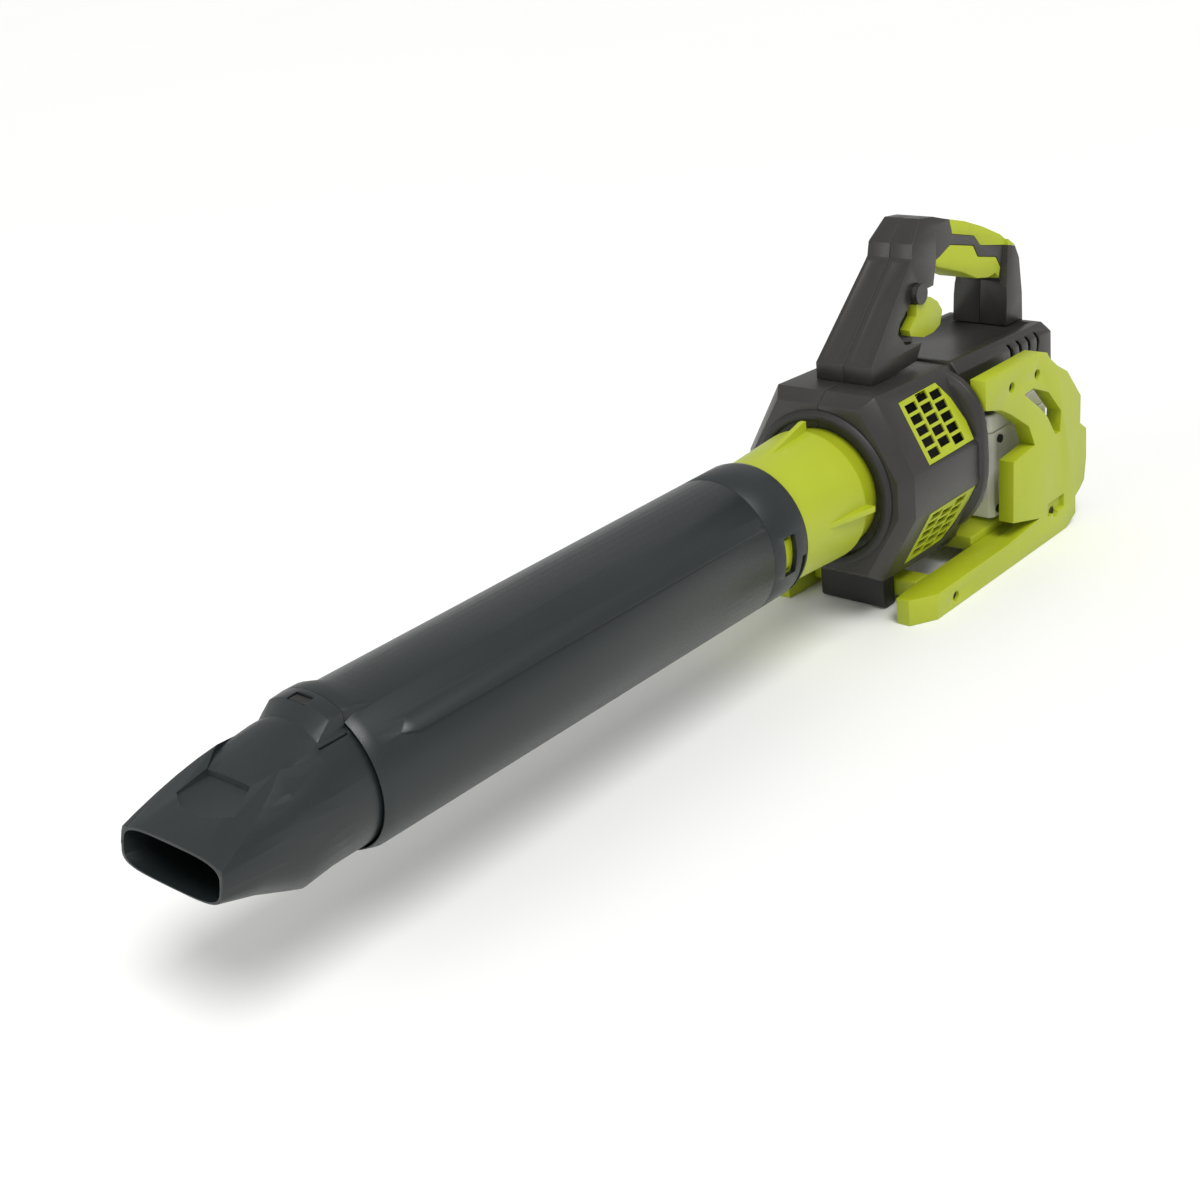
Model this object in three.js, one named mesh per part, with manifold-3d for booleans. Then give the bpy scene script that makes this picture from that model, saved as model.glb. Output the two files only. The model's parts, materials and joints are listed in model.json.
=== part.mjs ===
// Cordless turbine leaf blower with a top handle, side guards on skids and a removable battery.
// Millimetres, +Z up. The air axis runs along X with the nozzle towards -X, and the operator's
// left is -Y. Lengths are first written from the front ring's plane on the air axis (x = z = 0),
// and the whole group is moved at the end so that its origin is the bottom centre of its box.
import * as THREE from 'three';
import { mergeVertices } from 'three/addons/utils/BufferGeometryUtils.js';
import Module from 'manifold-3d';

const wasm = await Module();
wasm.setup();

// ---- driving sizes -------------------------------------------------------------------------
const axisHeight = 114;          // air axis above the ground
const seamGap = 0.3;             // clearance between pieces that touch
const slideGap = 0.6;            // clearance between pieces that slide or turn

const tubeRadius = 53;           // outside of the tube at its front
const tubeWall = 2.6;
const tubeFlare = 1.4;           // how much the tube widens towards the rear
const tubeRearX = -95;
const tubeLength = 426;
const tubeShoulder = 8;          // chamfered front edge of the tube

const nozzleRadius = tubeRadius - 4.8;
const nozzleWall = 2.4;
const nozzleLength = 116;        // visible length in front of the tube
const nozzleSocket = 36;         // length pushed into the tube
const mouthHalfWidth = 46;
const mouthHalfHeight = 13;

const ductWall = 2.6;
const ductRearRadius = tubeRadius + 1;   // flared rear end of the visible duct
const ductSocket = 52;           // length pushed into the tube
const ductFlareX = -18;
const finHeight = 8;

const ringHole = ductRearRadius + 2.5;
const ringRadius = ringHole + 7.7;

const housingFrontX = 1.4;
const housingWall = 3;
const housingRearX = 125;
const bevelDepth = 11.6;
const topHalfWidth = 45;         // flat top and bottom of the octagon
const topHeight = 76.8;
const sideHalfWidth = 78;
const sideHalfHeight = 17.6;     // upright side facets of the octagon
const droop = 0.045;             // fall of the housing's centre line per mm towards the rear

const coverRearX = 279;
const coverBevel = [6, 12.5];    // length and fall of the bevel at the cover's rear edge
const coverHalfWidth = 51;
const coverFloor = 18;
const coverWall = 3;

const fanTipGap = 1.2;
const hubRadius = 19;
const fanFrontX = 8;
const fanDepth = 24;
const bladeCount = 9;
const shaftRadius = 2.5;
const bearingRadius = 8;
const bearingWidth = 5;
const motorRadius = 20;
const motorFrontX = -58;
const motorLength = 50;
const vaneCount = 7;

const guardOuterY = 78;
const guardThickness = 14;
const railWidth = 27;
const railTopZ = -92;
const railRearX = 254;

const batteryFrontX = 176;
const batteryLength = 101;
const batteryHalfWidth = 50;
const batteryBottomZ = -82;
const batteryTopZ = 10;

const postHalfWidth = 26;
const gripHalfWidth = 19;
const gripSkin = 2.5;            // thickness of the soft overmould
const leverThickness = 9;
const leverPivot = [112, 130];   // x and z of the lever's pin
const leverPinRadius = 3;

const screwRadius = 2.2;
const screwHeadRadius = 4.2;

// ---- solids --------------------------------------------------------------------------------
function solidOf(geometry) {
  const bare = geometry.clone();
  for (const name of Object.keys(bare.attributes)) {
    if (name !== 'position') bare.deleteAttribute(name);
  }
  const merged = mergeVertices(bare, 1e-4);
  const p = merged.attributes.position;
  const triangles = [];
  const at = (i) => new THREE.Vector3(p.getX(i), p.getY(i), p.getZ(i));
  let volume = 0;
  for (let i = 0; i < merged.index.count; i += 3) {
    const [a, b, c] = [0, 1, 2].map((k) => merged.index.getX(i + k));
    if (a === b || b === c || c === a) continue;
    triangles.push([a, b, c]);
    volume += at(a).dot(at(b).cross(at(c)));
  }
  const outward = volume < 0 ? triangles.map(([a, b, c]) => [a, c, b]) : triangles;
  return new wasm.Manifold(new wasm.Mesh({
    numProp: 3,
    vertProperties: Float32Array.from(p.array),
    triVerts: Uint32Array.from(outward.flat()),
  }));
}

function geometryOf(solid) {
  const mesh = solid.getMesh();
  const geometry = new THREE.BufferGeometry();
  geometry.setAttribute('position', new THREE.BufferAttribute(mesh.vertProperties, 3));
  geometry.setIndex(new THREE.BufferAttribute(mesh.triVerts, 1));
  geometry.computeVertexNormals();
  return geometry;
}

const join = (...solids) => solids.flat().reduce((a, b) => a.add(b));
const cut = (solid, ...tools) => tools.flat().reduce((a, b) => a.subtract(b), solid);

function box(x0, x1, y0, y1, z0, z1) {
  const geometry = new THREE.BoxGeometry(x1 - x0, y1 - y0, z1 - z0);
  geometry.translate((x0 + x1) / 2, (y0 + y1) / 2, (z0 + z1) / 2);
  return solidOf(geometry);
}

// A flat outline swept along one axis: [x, z] along y, [y, z] along x, or [x, y] along z.
function prism(points, axis, from, to) {
  const shape = new THREE.Shape(points.map(([u, v]) => new THREE.Vector2(u, v)));
  const geometry = new THREE.ExtrudeGeometry(shape, { depth: to - from, bevelEnabled: false });
  const p = geometry.attributes.position;
  for (let i = 0; i < p.count; i++) {
    const [u, v, w] = [p.getX(i), p.getY(i), p.getZ(i) + from];
    if (axis === 'y') p.setXYZ(i, u, w, v);
    if (axis === 'x') p.setXYZ(i, w, u, v);
    if (axis === 'z') p.setXYZ(i, u, v, w);
  }
  return solidOf(geometry);
}

// A turned piece about the X axis from [x, radius] points.
function turned(profile, segments = 40, y = 0, z = 0) {
  const points = profile.map(([x, r]) => new THREE.Vector2(r, x));
  const geometry = new THREE.LatheGeometry(points, segments);
  geometry.rotateZ(-Math.PI / 2);
  geometry.translate(0, y, z);
  return solidOf(geometry);
}

const rodX = (r, x0, x1, y = 0, z = 0, segments = 24) =>
  turned([[x0, 0], [x0, r], [x1, r], [x1, 0]], segments, y, z);

const pipeX = (outer, inner, x0, x1, segments = 40) =>
  turned([[x0, inner], [x0, outer], [x1, outer], [x1, inner], [x0, inner]], segments);

function rod(axis, r, from, to, u, v, segments = 20) {
  const geometry = new THREE.CylinderGeometry(r, r, to - from, segments);
  const middle = (from + to) / 2;
  if (axis === 'y') geometry.translate(u, middle, v);
  if (axis === 'z') {
    geometry.rotateX(Math.PI / 2);
    geometry.translate(u, v, middle);
  }
  return solidOf(geometry);
}

// A skin over closed convex loops of equal length, closed at both ends.
function loft(loops) {
  const count = loops[0].length;
  const triangles = [];
  for (let s = 0; s + 1 < loops.length; s++) {
    for (let i = 0; i < count; i++) {
      const [a, b] = [s * count + i, s * count + ((i + 1) % count)];
      triangles.push(a, b, a + count, b, b + count, a + count);
    }
  }
  const last = (loops.length - 1) * count;
  for (let i = 1; i + 1 < count; i++) {
    triangles.push(0, i + 1, i, last, last + i, last + i + 1);
  }
  const geometry = new THREE.BufferGeometry();
  geometry.setAttribute('position', new THREE.Float32BufferAttribute(loops.flat(2), 3));
  geometry.setIndex(triangles);
  return solidOf(geometry);
}

// A coil spring of three turns about an axis along x or y, from one end plane to the other.
function coilSpring(axis, radius, wire, from, to, u, v) {
  const steps = 24;
  const path = [];
  for (let i = 0; i <= steps; i++) {
    const angle = (i / 8) * 2 * Math.PI;
    const along = from + wire + (to - from - 2 * wire) * (i / steps);
    const [c, s] = [radius * Math.cos(angle), radius * Math.sin(angle)];
    path.push(axis === 'x' ? new THREE.Vector3(along, u + c, v + s)
      : new THREE.Vector3(u + c, along, v + s));
  }
  const section = new THREE.Shape();
  section.absarc(0, 0, wire, 0, 2 * Math.PI);
  return solidOf(new THREE.ExtrudeGeometry(section, {
    steps, curveSegments: 3, extrudePath: new THREE.CatmullRomCurve3(path),
  }));
}

const turnX = (solid, angle) => {
  const geometry = geometryOf(solid);
  geometry.rotateX(angle);
  return solidOf(geometry);
};
const mirrored = (solid) => {
  const geometry = geometryOf(solid);
  geometry.scale(1, -1, 1);
  return solidOf(geometry);
};

const far = 900;
const leftHalf = box(-far, far, -far, -seamGap / 2, -far, far);
const rightHalf = box(-far, far, seamGap / 2, far, -far, far);

// ---- finishes ------------------------------------------------------------------------------
const finish = (color, roughness, metalness = 0) => () =>
  new THREE.MeshStandardMaterial({ color, roughness, metalness });
const darkNylon = finish('#4a4946', 0.5);
const tubePlastic = finish('#3a3e3e', 0.45);
const blackPlastic = finish('#1f1e1d', 0.6);
const limePlastic = finish('#b9c63f', 0.42);
const limeRubber = finish('#c6d04a', 0.6);
const paleCase = finish('#dcd8c8', 0.5);
const steel = finish('#8d9094', 0.35, 1);
const zincSteel = finish('#6f7275', 0.4, 1);
const copper = finish('#b0703c', 0.4, 1);
const board = finish('#2e5e3a', 0.6);

const blower = new THREE.Group();
function add(name, solid, material) {
  const mesh = new THREE.Mesh(geometryOf(solid), material());
  mesh.name = name;
  blower.add(mesh);
}

// ---- tube ----------------------------------------------------------------------------------
const tubeFrontX = tubeRearX - tubeLength;
const tubeBore = tubeRadius - tubeWall;
const tubeRearRadius = tubeRadius + tubeFlare;
const ribAngle = 34.5;                                 // degrees above the horizontal
const ribHalfWidth = 5.9;
const ribRise = 3;                                     // its lower edge stands out, its upper is flush
const ribRoot = tubeRadius - 2;
const ribSection = [
  [-ribHalfWidth, 0], [-ribHalfWidth, ribRise + 2], [-ribHalfWidth + 1.3, ribRise + 2.2],
  [ribHalfWidth, 2.1], [ribHalfWidth, 0],
];
const ribSteps = [                                     // x and share of the full section
  [tubeFrontX + 26, 0.45], [tubeFrontX + 36, 1], [tubeRearX - 50, 1.1], [tubeRearX - 45, 0.8],
];
const leftRib = turnX(loft(ribSteps.map(([x, share]) =>
  ribSection.map(([y, z]) => [x, y * share, ribRoot + z * share]))),
THREE.MathUtils.degToRad(90 - ribAngle));

const latchX = tubeRearX - 22;
const latchLength = 13;
const latchHalfHeight = 18;
const tubeWindow = (sideY) => box(latchX - latchLength / 2, latchX + latchLength / 2,
  Math.min(0, sideY), Math.max(0, sideY), -latchHalfHeight, latchHalfHeight * 0.7);

const tubeSkin = turned([
  [tubeFrontX, tubeBore - 0.4], [tubeFrontX, nozzleRadius + 1.8 + slideGap],
  [tubeFrontX + tubeShoulder, tubeRadius], [tubeRearX - 4, tubeRearRadius],
  [tubeRearX, tubeRearRadius - 1], [tubeRearX, tubeBore],
  [tubeFrontX + nozzleSocket + 8, tubeBore], [tubeFrontX + nozzleSocket + 2, tubeBore - 0.4],
  [tubeFrontX, tubeBore - 0.4],
], 56);
const earRise = 4;               // height of the latch hump above the tube
const earHalfWidth = 27;
const earLimit = box(-far, far, -earHalfWidth, earHalfWidth, 20, far);
const tubeEar = turned([
  [tubeFrontX, nozzleRadius + 3], [tubeFrontX, tubeRadius + earRise],
  [tubeFrontX + 10, tubeRadius + earRise], [tubeFrontX + 24, tubeRadius - 0.6],
  [tubeFrontX + 9, tubeRadius - 1], [tubeFrontX, nozzleRadius + 3],
], 56).intersect(earLimit);
add('blower_tube', cut(
  join(tubeSkin, leftRib, mirrored(leftRib), tubeEar),
  tubeWindow(-far / 9), tubeWindow(far / 9),
  [-1, 1].map((side) => box(tubeRearX - 8, tubeRearX - 3.6, Math.min(0, side * far),
    Math.max(0, side * far), -39, -8)),
), tubePlastic);

// ---- nozzle --------------------------------------------------------------------------------
const nozzleLoopPoints = 40;
function nozzleLoop(x, halfWidth, up, down, power, slant = 0) {
  const loop = [];
  for (let i = 0; i < nozzleLoopPoints; i++) {
    const angle = (i / nozzleLoopPoints) * 2 * Math.PI;
    const [c, s] = [Math.cos(angle), Math.sin(angle)];
    const y = halfWidth * Math.sign(c) * Math.abs(c) ** (2 / power);
    const z = (s > 0 ? up : down) * Math.sign(s) * Math.abs(s) ** (2 / power);
    loop.push([x + slant * z, y, z]);
  }
  return loop;
}
const nozzleRearX = tubeFrontX + nozzleSocket;
const mouthX = tubeFrontX - nozzleLength;
const mouthSlant = 0.25;                               // the lower lip reaches further forward
const skinRoof = [36.6, 32.4, 25];                     // top of the skin behind and over the facet
const hollowRoof = [33, 25.5, 18.5];                   // lower inside, under the dent
const nozzleLoops = (inset, frontX, rearX, roof) => [
  nozzleLoop(rearX, nozzleRadius - inset, nozzleRadius - inset, nozzleRadius - inset, 2),
  nozzleLoop(tubeFrontX - 28, nozzleRadius - inset, nozzleRadius - inset, nozzleRadius - inset, 2),
  nozzleLoop(tubeFrontX - 56, nozzleRadius + 0.4 - inset, roof[0], 44 - inset, 2.8),
  nozzleLoop(tubeFrontX - 67, nozzleRadius - inset, roof[1], 39 - inset, 2.8),
  nozzleLoop(tubeFrontX - 88, nozzleRadius - 0.6 - inset, roof[2], 29 - inset, 2.7),
  nozzleLoop(frontX, mouthHalfWidth + 1 - inset, mouthHalfHeight - inset, mouthHalfHeight - inset,
    4, mouthSlant),
];
const nozzleSkin = loft(nozzleLoops(0, mouthX, nozzleRearX, skinRoof));

// The facet above the mouth: one slightly crowned slope cuts the round barrel, except between
// the two rear spikes, where the skin runs on smoothly up to the barrel.
const facetSlope = 0.421;
const facetCrown = 3.3;
const facetAt = (x) => mouthHalfHeight - 1 + facetSlope * (x - mouthX);
const facetLoop = (x) => {
  const loop = [[x, -70, -far], [x, 70, -far]];
  for (let y = 70; y >= -70; y -= 10) {
    loop.push([x, y, facetAt(x) - facetCrown * (y / mouthHalfWidth) ** 2]);
  }
  return loop;
};
const belowFacet = loft([facetLoop(mouthX - 20), facetLoop(tubeFrontX)]);
const crownFrontX = tubeFrontX - 67;
const crownPlan = [
  [crownFrontX, -20], [crownFrontX + 12, -27.6], [crownFrontX + 37, -34], [nozzleRearX, -60],
  [nozzleRearX, 60], [crownFrontX + 37, 34], [crownFrontX + 12, 27.6], [crownFrontX, 20],
];
const barrelFacets = loft([
  nozzleLoop(tubeFrontX - 20, nozzleRadius, nozzleRadius, nozzleRadius, 2),
  nozzleLoop(tubeFrontX - 54, nozzleRadius + 0.4, nozzleRadius - 1.6, nozzleRadius + 0.4, 2),
  nozzleLoop(mouthX, mouthHalfWidth + 1.4, mouthHalfWidth - 3, mouthHalfHeight, 2, mouthSlant),
]).intersect(belowFacet).subtract(prism(crownPlan, 'z', 0, far));
const dentPlan = [
  [crownFrontX, -20], [crownFrontX - 19, -26.8], [crownFrontX - 25.5, -15], [crownFrontX - 28, 0],
  [crownFrontX - 25.5, 15], [crownFrontX - 19, 26.8], [crownFrontX, 20],
];
const dentLoop = (rise, slope) =>
  dentPlan.map(([x, y]) => [x, y, facetAt(x) + rise - slope * (x - crownFrontX + 28)]);
const dent = loft([dentLoop(-1, 0.16), dentLoop(20, 0)]);
const nozzleEar = turned([
  [tubeFrontX - 23, nozzleRadius - 1], [tubeFrontX - 11, tubeRadius + earRise - 1],
  [tubeFrontX - seamGap, tubeRadius + earRise], [tubeFrontX - seamGap, nozzleRadius - 1],
  [tubeFrontX - 23, nozzleRadius - 1],
], 56).intersect(earLimit);
const earSlot = box(tubeFrontX - 12, tubeFrontX - 4, -8, 8, nozzleRadius - 6, far);
const tongueSlits = [-1, 1].map((side) =>
  box(tubeFrontX - 24, tubeFrontX - 2, side * 30 - 0.8, side * 30 + 0.8, 20, far));
const nozzleHollow = loft(nozzleLoops(nozzleWall, mouthX - 4, nozzleRearX + 4, hollowRoof));
add('nozzle', cut(
  join(nozzleSkin, barrelFacets, nozzleEar),
  dent, nozzleHollow, earSlot, tongueSlits,
), tubePlastic);
add('nozzle_release_button', box(tubeFrontX - 12 + slideGap, tubeFrontX - 4 - slideGap,
  -8 + slideGap, 8 - slideGap, nozzleRadius - 1.6, tubeRadius + 2.2), blackPlastic);

// ---- outlet duct, ring and fins ------------------------------------------------------------
const ductNeck = tubeBore - slideGap;
const ductFrontX = tubeRearX - ductSocket;
const ductRearX = fanFrontX + fanDepth + 5;
const ductBore = ductNeck - ductWall - 1.2;
const fanRadius = ductBore - fanTipGap;
const ductFins = [0, 90, 180, 270].map((angle) => turnX(prism([
  [ductFlareX - 46, ductNeck - 1], [ductFlareX - 46, ductNeck + 1.6],
  [ductFlareX - 4, ductRearRadius + finHeight], [ductFlareX, ductRearRadius + finHeight],
  [ductFlareX, ductNeck - 1],
], 'y', -2.2, 2.2), THREE.MathUtils.degToRad(angle)));
const pocketDepth = 9;
const ductPockets = [-1, 1].map((side) => box(latchX - latchLength / 2, latchX + latchLength / 2,
  side < 0 ? -far / 9 : ductNeck - pocketDepth, side < 0 ? -ductNeck + pocketDepth : far / 9,
  -latchHalfHeight, latchHalfHeight * 0.7));
const pocketLiners = [-1, 1].map((side) => box(
  latchX - latchLength / 2 - 1.6, latchX + latchLength / 2 + 1.6,
  side < 0 ? -ductNeck + 2 : ductNeck - pocketDepth - 1.6,
  side < 0 ? -ductNeck + pocketDepth + 1.6 : ductNeck - 2,
  -latchHalfHeight - 1.6, latchHalfHeight * 0.7 + 1.6));
const linerLimit = rodX(ductNeck, -far, far, 0, 0, 56);
const ductShell = turned([
  [ductFrontX, ductBore], [ductFrontX, ductNeck - 1], [ductFrontX + 4, ductNeck],
  [tubeRearX + 1, ductNeck], [ductFlareX - 2, ductRearRadius], [ductFlareX, ductRearRadius],
  [ductFlareX, ductNeck], [ductRearX, ductNeck], [ductRearX, ductBore], [ductFrontX, ductBore],
], 56);
const liners = join(pocketLiners).intersect(linerLimit);
add('outlet_duct', cut(join(ductShell, ductFins, liners), ductPockets), limePlastic);

const buttonHeight = 2 * latchHalfHeight * 0.62;
[['left', -1], ['right', 1]].forEach(([name, side]) => {
  const outer = ductNeck - 0.8;
  const [y0, y1] = [side * (outer - 3), side * outer].sort((a, b) => a - b);
  add(`tube_release_button_${name}`, box(latchX - latchLength / 2 + slideGap,
    latchX + latchLength / 2 - slideGap, y0, y1, -buttonHeight * 0.62, buttonHeight * 0.38)
    .intersect(linerLimit), limePlastic);
  const [s0, s1] = [side * (ductNeck - pocketDepth + seamGap), side * (outer - 3 - seamGap)]
    .sort((a, b) => a - b);
  add(`tube_release_spring_${name}`, coilSpring('y', 3, 0.5, s0, s1, latchX, -2.6), steel);
});

add('front_ring', turned([
  [-3, ringHole + 1.5], [-3, ringRadius - 2.5], [-1, ringRadius],
  [housingFrontX - seamGap, ringRadius + 1], [housingFrontX - seamGap, ringHole],
  [-1.5, ringHole], [-3, ringHole + 1.5],
], 56), blackPlastic);

// ---- housing halves ------------------------------------------------------------------------
const centreAt = (x) => -droop * Math.max(0, x - housingFrontX - bevelDepth);
function octagon(x, topY, topZ, sideY, sideZ) {
  const c = centreAt(x);
  return [[topY, topZ], [sideY, sideZ], [sideY, -sideZ], [topY, -topZ],
    [-topY, -topZ], [-sideY, -sideZ], [-sideY, sideZ], [-topY, topZ]]
    .map(([y, z]) => [x, y, c + z]);
}
const bevelInset = 8;
const housingLoops = (inset, frontX, rearX) => [
  octagon(frontX, topHalfWidth - 6.7 - inset / 2, topHeight - bevelInset - inset,
    sideHalfWidth - bevelInset - inset, sideHalfHeight - 2.8),
  octagon(housingFrontX + bevelDepth, topHalfWidth - inset / 2, topHeight - inset,
    sideHalfWidth - inset, sideHalfHeight),
  octagon(housingRearX - 15, topHalfWidth - inset / 2, topHeight - inset,
    sideHalfWidth - 1 - inset, sideHalfHeight - 2),
  octagon(rearX, topHalfWidth - 1 - inset / 2, topHeight - 2 - inset,
    sideHalfWidth - 5 - inset, sideHalfHeight - 3),
];
const housingOuter = loft(housingLoops(0, housingFrontX, housingRearX));
const housingInner = loft(housingLoops(housingWall, housingFrontX + housingWall,
  housingRearX - housingWall));
const ductHole = rodX(ductNeck + seamGap, -far, ductRearX + 9, 0, 0, 56);
const ductSocketRing = pipeX(ductNeck + 4, ductNeck + seamGap, housingFrontX, ductRearX + 2, 56);

// Each window is cut square to its sloping facet, in a frame that is turned about X.
const windowFrontX = 38;
const windowRearX = 108;
const facetAngle = Math.atan2(sideHalfWidth - topHalfWidth, topHeight - sideHalfHeight);
const facetLength = Math.hypot(sideHalfWidth - topHalfWidth, topHeight - sideHalfHeight);
const facetMiddle = [(sideHalfWidth + topHalfWidth) / 2, (topHeight + sideHalfHeight) / 2];
const windowTop = facetLength / 2 - 9.5;
const windowFoot = 3 - facetLength / 2;
function onFacet(solid, side, up) {
  const geometry = geometryOf(solid);
  geometry.rotateX(facetAngle);                          // the piece lies facing +Y before this
  geometry.translate(0, facetMiddle[0], facetMiddle[1]);
  geometry.scale(1, side, up);
  geometry.translate(0, 0, centreAt((windowFrontX + windowRearX) / 2));
  return solidOf(geometry);
}
const windowOutline = (grow) => [
  [windowFrontX - grow, windowTop + grow], [windowRearX - 14 + grow, windowTop + grow],
  [windowRearX - 5 + grow, windowTop - 16 + grow], [windowRearX + grow, windowFoot + 16 - grow],
  [windowRearX - 2 + grow, windowFoot - grow], [windowFrontX - grow, windowFoot - grow],
];
const facets = [['left_upper', -1, 1], ['left_lower', -1, -1], ['right_upper', 1, 1],
  ['right_lower', 1, -1]];
const windowCuts = facets.map(([, side, up]) =>
  onFacet(prism(windowOutline(0), 'y', -14, 14), side, up));

// The rounded rim at the housing's rear stands proud of the guards and the rear cover.
const flangeHalfWidth = 81.5;
function flangeLoop(x, grow) {
  const loop = [];
  for (let i = 0; i < 48; i++) {
    const angle = (i / 48) * 2 * Math.PI;
    const [c, s] = [Math.cos(angle), Math.sin(angle)];
    const power = s > 0 ? 3.2 : 2.2;
    loop.push([x, (flangeHalfWidth + grow) * Math.sign(c) * Math.abs(c) ** (2 / power),
      (topHeight + grow) * Math.sign(s) * Math.abs(s) ** (2 / power) + centreAt(x)]);
  }
  return loop;
}
const flangeX = [110, 113, 118.5, 121];
const flange = loft(flangeX.map((x, i) => flangeLoop(x, [-7, -1, 0, -2.5][i])));
const flangeKeepOut = loft([
  flangeLoop(flangeX[0] - 1, seamGap), flangeLoop(flangeX[3] + seamGap, seamGap),
]);
const housing = cut(
  join(cut(join(housingOuter, flange), housingInner), ductSocketRing), ductHole, windowCuts);
add('housing_left', housing.intersect(leftHalf), darkNylon);
add('housing_right', housing.intersect(rightHalf), darkNylon);

// ---- intake grilles ------------------------------------------------------------------------
const slotColumns = 3;
const slotRows = 5;
const slotLong = 15;
const slotWide = 7;
const slotPitch = [18, 9.8];
const grilleSink = 0.8;
const grilleThickness = 2.2;
facets.forEach(([name, side, up]) => {
  const plate = prism(windowOutline(-seamGap), 'y', -grilleSink - grilleThickness, -grilleSink);
  const slots = [];
  for (let column = 0; column < slotColumns; column++) {
    for (let row = 0; row < slotRows; row++) {
      const x = windowFrontX + 14 + column * slotPitch[0];
      const z = windowFoot + 7.5 + row * slotPitch[1] + (column === 1 ? slotPitch[1] / 2 - 1 : 0);
      slots.push(box(x - slotLong / 2, x + slotLong / 2, -12, 12, z - slotWide / 2, z + slotWide / 2));
    }
  }
  add(`intake_grille_${name}`, onFacet(cut(plate, slots), side, up), limePlastic);
});

// ---- fan and motor -------------------------------------------------------------------------
const fanHub = turned([
  [fanFrontX, shaftRadius + 0.01], [fanFrontX, hubRadius], [fanFrontX + fanDepth, hubRadius],
  [fanFrontX + fanDepth, shaftRadius + 0.01], [fanFrontX, shaftRadius + 0.01],
], 36);
const blades = [];
const bladeTwist = THREE.MathUtils.degToRad(48);
const bladeHalf = [Math.cos(bladeTwist) * (fanDepth - 4) / 2, Math.sin(bladeTwist) * (fanDepth - 4) / 2];
const bladeMiddle = fanFrontX + fanDepth / 2;
const bladeThin = 1.2;
for (let i = 0; i < bladeCount; i++) {
  const blade = loft([hubRadius - 4, fanRadius].map((r) => [
    [bladeMiddle - bladeHalf[0], -bladeHalf[1] - bladeThin, r],
    [bladeMiddle - bladeHalf[0], -bladeHalf[1] + bladeThin, r],
    [bladeMiddle + bladeHalf[0], bladeHalf[1] + bladeThin, r],
    [bladeMiddle + bladeHalf[0], bladeHalf[1] - bladeThin, r],
  ]));
  blades.push(turnX(blade, (i / bladeCount) * 2 * Math.PI));
}
const fanSweep = rodX(fanRadius, fanFrontX, fanFrontX + fanDepth, 0, 0, 40);
add('fan_impeller', cut(join(fanHub, blades).intersect(fanSweep),
  rodX(shaftRadius + seamGap, -20, 80)), blackPlastic);

const spinnerRearX = fanFrontX + fanDepth + 16;
add('fan_spinner', turned([
  [fanFrontX + fanDepth + seamGap, 0], [fanFrontX + fanDepth + seamGap, hubRadius],
  [fanFrontX + fanDepth + 7, hubRadius - 3], [fanFrontX + fanDepth + 13, hubRadius - 9],
  [spinnerRearX, 0],
], 36), blackPlastic);

const motorRearX = motorFrontX + motorLength;
add('rotor_shaft', join(
  rodX(shaftRadius, motorFrontX - 4, fanFrontX + fanDepth, 0, 0, 20),
  rodX(8.4, motorFrontX + 10, motorRearX - 9, 0, 0, 20),
), steel);
add('motor_stator', pipeX(motorRadius - 2 - seamGap, 9, motorFrontX + 9, motorRearX - 8, 32), copper);
const motorCase = cut(
  rodX(motorRadius, motorFrontX, motorRearX, 0, 0, 32),
  rodX(motorRadius - 2, motorFrontX + 8, motorRearX + 1, 0, 0, 32),
  rodX(bearingRadius + seamGap, motorFrontX - 1, motorFrontX + bearingWidth + seamGap),
  rodX(shaftRadius + slideGap, motorFrontX - 1, motorRearX),
);
add('motor_case', motorCase, zincSteel);
add('motor_end_plate', cut(
  join(rodX(motorRadius - 2 - seamGap, motorRearX - 7, motorRearX - 1, 0, 0, 32),
    rodX(motorRadius, motorRearX + seamGap, motorRearX + 2, 0, 0, 32),
    rodX(motorRadius - 4, motorRearX - 2, motorRearX + 1, 0, 0, 32)),
  rodX(bearingRadius + seamGap, motorRearX - bearingWidth + 2 - seamGap, motorRearX + 3),
  rodX(shaftRadius + slideGap, motorRearX - 20, motorRearX + 5),
), zincSteel);
const bearing = (x) => pipeX(bearingRadius, shaftRadius + seamGap, x, x + bearingWidth, 24);
add('motor_bearing_front', bearing(motorFrontX), steel);
add('motor_bearing_rear', bearing(motorRearX - bearingWidth + 2), steel);

const sleeveRadius = motorRadius + 3;
const vanes = [];
for (let i = 0; i < vaneCount; i++) {
  const vane = box(motorFrontX + 8, motorRearX - 2, -1.1, 1.1, sleeveRadius - 1,
    ductBore - seamGap);
  vanes.push(turnX(vane, ((i + 0.5) / vaneCount) * 2 * Math.PI));
}
add('motor_mount', join(
  pipeX(sleeveRadius, motorRadius + seamGap, motorFrontX - 2, motorRearX + 4, 32), vanes),
blackPlastic);
add('tail_cone', turned([
  [motorFrontX - 2 - seamGap, 0], [motorFrontX - 2 - seamGap, sleeveRadius],
  [motorFrontX - 20, sleeveRadius - 3], [motorFrontX - 40, sleeveRadius - 11],
  [motorFrontX - 54, 2.5], [motorFrontX - 54, 0],
], 32).subtract(rodX(bearingRadius, motorFrontX - 6, motorFrontX + 2)),
blackPlastic);

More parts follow.
